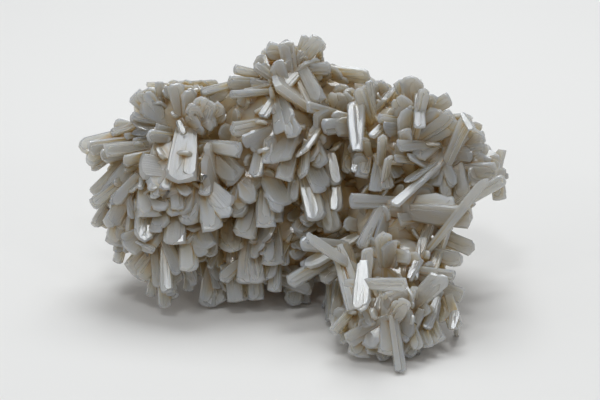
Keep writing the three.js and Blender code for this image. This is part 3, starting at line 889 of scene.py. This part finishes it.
stilbite = bpy.data.materials.new("stilbite")
stilbite.use_nodes = True
crystal_object = small_crystal_object(draws)
strewn = bpy.data.objects.new("strewn", heart_mesh.copy())
scene.collection.objects.link(strewn)
strewing = strewn.modifiers.new("strewing", "NODES")
strewing.node_group = strewing_tree(crystal_object, stilbite)
set_input(strewing, "Spacing", SMALL_SPACING * MM)
set_input(strewing, "Slant", math.radians(SMALL_SLANT))
set_input(strewing, "Least", [s[0] * MM for s in (SMALL_WIDTH, SMALL_THICKNESS, SMALL_LENGTH)])
set_input(strewing, "Most", [s[1] * MM for s in (SMALL_WIDTH, SMALL_THICKNESS, SMALL_LENGTH)])
set_input(strewing, "Seed", SMALL_SEED)
strewn.update_tag()
depsgraph = bpy.context.evaluated_depsgraph_get()
strewn_mesh = bpy.data.meshes.new_from_object(strewn.evaluated_get(depsgraph))
bpy.data.objects.remove(strewn)

strewn_points = np.empty(len(strewn_mesh.vertices) * 3)
strewn_mesh.vertices.foreach_get("co", strewn_points)
OUTLINE_COUNT = 2 * len(SMALL_SIDE) + 1
POINTS_EACH = RING_COUNT * OUTLINE_COUNT
strewn_points = strewn_points.reshape(-1, POINTS_EACH, 3)


def small_shell(points):
    """The closed mesh of one strewn crystal."""
    shell = bpy.data.meshes.new("small")
    shell.from_pydata(points.tolist(), [], SMALL_FACES)
    sideways = points[0] - points[OUTLINE_COUNT - 1]
    sideways /= np.linalg.norm(sideways)
    across = shell.attributes.new("across", "FLOAT_VECTOR", "FACE")
    across.data.foreach_set("vector", list(sideways) * len(SMALL_FACES))
    kind = shell.attributes.new("kind", "FLOAT", "FACE")
    kind.data.foreach_set("value", SMALL_KINDS)
    return shell


for points in strewn_points:
    moved = pushed_in(points)
    if np.linalg.norm(moved[0] - points[0]) < SMALL_SHIFT:
        shells.append(small_shell(moved))

# The cluster
# All of it is one grown piece, broken off flat underneath.


def slab_below_floor():
    """A closed slab whose top is the floor."""
    slab = bpy.data.meshes.new("slab")
    half = 200 * MM
    points = [(x, y, z) for z in (-BREAK_DEPTH, 0) for x, y in ((-half, -half), (half, -half), (half, half), (-half, half))]
    faces = [(3, 2, 1, 0), (4, 5, 6, 7), (0, 1, 5, 4), (1, 2, 6, 5), (2, 3, 7, 6), (3, 0, 4, 7)]
    slab.from_pydata(points, [], faces)
    return slab


import time
t0 = time.time()
whole = grown_together([heart_mesh] + shells)
print("union", time.time() - t0)
tree = BVHTree.FromPolygons([v.co for v in whole.vertices], [p.vertices for p in whole.polygons])
mirrors = [shell for row in MIRRORS for shell in mirror_shells(row, tree, draws)]
whole = joined(whole, grown_together(mirrors), "UNION")
whole = joined(whole, slab_below_floor(), "DIFFERENCE")


def largest_part(mesh):
    """Deletes all of a mesh but its largest connected part."""
    ends = np.empty(len(mesh.edges) * 2, dtype=int)
    mesh.edges.foreach_get("vertices", ends)
    first, second = ends[::2], ends[1::2]
    part = np.arange(len(mesh.vertices))
    while True:
        least = np.minimum(part[first], part[second])
        after = part.copy()
        np.minimum.at(after, part[first], least)
        np.minimum.at(after, part[second], least)
        after = after[after]
        if (after == part).all():
            break
        part = after
    names, counts = np.unique(part, return_counts=True)
    print("parts", sorted(counts)[-8:], len(counts))
    kept = names[np.argmax(counts)]
    grown = bmesh.new()
    grown.from_mesh(mesh)
    loose = [vertex for vertex, name in zip(grown.verts, part) if name != kept]
    bmesh.ops.delete(grown, geom=loose, context="VERTS")
    grown.to_mesh(mesh)
    grown.free()


largest_part(whole)
bpy.data.objects.remove(left_shell)
bpy.data.objects.remove(right_shell)

# How deep each point lies between the crystals, from rays that leave it. The colour uses it to paint shade:
# darker and tan where the rays are blocked.
RAY_REACH = 14 * MM
RAY_COUNT = 10
RAY_START = 0.15 * MM


def crevice_shade_values(mesh):
    tree = BVHTree.FromPolygons([v.co for v in mesh.vertices], [p.vertices for p in mesh.polygons])
    values = []
    for vertex in mesh.vertices:
        normal = vertex.normal
        side = normal.orthogonal().normalized()
        other = normal.cross(side)
        blocked = 0
        for i in range(RAY_COUNT):
            height = 1 - (i + 0.5) / RAY_COUNT * 0.9
            flat = math.sqrt(1 - height * height)
            bearing = GOLDEN_TURN * i
            ray = normal * height + side * flat * math.cos(bearing) + other * flat * math.sin(bearing)
            hit = tree.ray_cast(vertex.co + normal * RAY_START, ray, RAY_REACH)
            if hit[0] is not None:
                blocked += 1 - 0.6 * hit[3] / RAY_REACH
        values.append(blocked / RAY_COUNT)
    return values


t0 = time.time()
crevice_shade = whole.attributes.new("crevice_shade", "FLOAT", "POINT")
crevice_shade.data.foreach_set("value", crevice_shade_values(whole))
print("rays", time.time() - t0)

SOFT_EDGE = math.radians(30)
cluster = bpy.data.objects.new("stilbite_crystals", whole)
scene.collection.objects.link(cluster)
whole.materials.clear()
whole.materials.append(stilbite)
whole.polygons.foreach_set("material_index", [0] * len(whole.polygons))
whole.polygons.foreach_set("use_smooth", [True] * len(whole.polygons))
whole.set_sharp_from_angle(angle=SOFT_EDGE)
print("triangles", sum(len(p.vertices) - 2 for p in whole.polygons))

# The pearly finish, with painted shade between the crystals
nodes = stilbite.node_tree.nodes
links = stilbite.node_tree.links
shader = nodes["Principled BSDF"]


def added(kind, **values):
    node = nodes.new(kind)
    for name, value in values.items():
        setattr(node, name, value)
    return node


crevice_shade_node = added("ShaderNodeAttribute", attribute_name="crevice_shade")
across_node = added("ShaderNodeAttribute", attribute_name="across")
kind_node = added("ShaderNodeAttribute", attribute_name="kind")
coordinates = added("ShaderNodeTexCoord")
position = added("ShaderNodeVectorMath", operation="DOT_PRODUCT")
links.new(coordinates.outputs["Object"], position.inputs[0])
links.new(across_node.outputs["Vector"], position.inputs[1])
lines = added("ShaderNodeTexNoise", noise_dimensions="1D")
lines.inputs["Scale"].default_value = 1700
lines.inputs["Detail"].default_value = 3
links.new(position.outputs["Value"], lines.inputs["W"])
sugar = added("ShaderNodeTexNoise")
sugar.inputs["Scale"].default_value = 2600
sugar.inputs["Detail"].default_value = 2
links.new(coordinates.outputs["Object"], sugar.inputs["Vector"])
height = added("ShaderNodeMix", data_type="FLOAT")
end_mask = added("ShaderNodeMath", operation="GREATER_THAN")
end_mask.inputs[1].default_value = 1.5
links.new(kind_node.outputs["Fac"], end_mask.inputs[0])
links.new(end_mask.outputs["Value"], height.inputs["Factor"])
speckled = added("ShaderNodeMath", operation="MULTIPLY_ADD")
speckled.inputs[1].default_value = 0.5
links.new(sugar.outputs["Fac"], speckled.inputs[0])
links.new(lines.outputs["Fac"], speckled.inputs[2])
links.new(speckled.outputs["Value"], height.inputs[2])
links.new(sugar.outputs["Fac"], height.inputs[3])
rounded = added("ShaderNodeBevel", samples=4)
rounded.inputs["Radius"].default_value = 0.2 * MM
bump = added("ShaderNodeBump")
links.new(rounded.outputs["Normal"], bump.inputs["Normal"])
bump.inputs["Strength"].default_value = 0.5
bump.inputs["Distance"].default_value = 0.00025
links.new(height.outputs[0], bump.inputs["Height"])
links.new(bump.outputs["Normal"], shader.inputs["Normal"])

cloud = added("ShaderNodeTexNoise")
cloud.inputs["Scale"].default_value = 60
cloud.inputs["Detail"].default_value = 3
links.new(coordinates.outputs["Object"], cloud.inputs["Vector"])
# Painted shade: the colour runs from pale grey on open faces to dark tan where the crystals hem a point in,
# shifted a little by a random cloud of tone.
ramp = added("ShaderNodeValToRGB")
ramp.color_ramp.elements[0].position = 0.08
ramp.color_ramp.elements[0].color = (0.57, 0.56, 0.535, 1)
ramp.color_ramp.elements[1].position = 0.8
ramp.color_ramp.elements[1].color = (0.52, 0.36, 0.16, 1)
middle = ramp.color_ramp.elements.new(0.4)
middle.color = (0.55, 0.50, 0.41, 1)
shifted = added("ShaderNodeMath", operation="MULTIPLY_ADD")
shifted.inputs[1].default_value = 0.3
links.new(cloud.outputs["Fac"], shifted.inputs[0])
lowered = added("ShaderNodeMath", operation="SUBTRACT")
lowered.inputs[1].default_value = 0.15
links.new(crevice_shade_node.outputs["Fac"], lowered.inputs[0])
links.new(lowered.outputs["Value"], shifted.inputs[2])
links.new(shifted.outputs["Value"], ramp.inputs["Fac"])
# Each plate is a little darker or duller than the next.
plate_chance = added("ShaderNodeTexWhiteNoise", noise_dimensions="3D")
links.new(across_node.outputs["Vector"], plate_chance.inputs["Vector"])
tinted = added("ShaderNodeVectorMath", operation="SCALE")
links.new(ramp.outputs["Color"], tinted.inputs[0])
links.new(tinted.outputs["Vector"], shader.inputs["Base Color"])
for target, least, most in (
    (tinted.inputs["Scale"], 0.84, 1.12),
    (shader.inputs["Roughness"], 0.14, 0.32),
):
    chance = added("ShaderNodeMapRange")
    chance.inputs["To Min"].default_value = least
    chance.inputs["To Max"].default_value = most
    links.new(plate_chance.outputs["Value"], chance.inputs["Value"])
    links.new(chance.outputs["Result"], target)
shader.inputs["IOR"].default_value = 1.5
shader.inputs["Transmission Weight"].default_value = 0.35
shader.inputs["Subsurface Weight"].default_value = 1
shader.inputs["Subsurface Radius"].default_value = (1.0, 0.85, 0.65)
shader.inputs["Subsurface Scale"].default_value = 8 * MM
shader.inputs["Coat Weight"].default_value = 0.6
shader.inputs["Coat Roughness"].default_value = 0.1
depth = added("ShaderNodeVolumeAbsorption")
depth.inputs["Color"].default_value = (0.95, 0.87, 0.70, 1)
depth.inputs["Density"].default_value = 150
links.new(depth.outputs["Volume"], nodes["Material Output"].inputs["Volume"])

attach(cluster, "root")
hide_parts("stilbite_cluster")
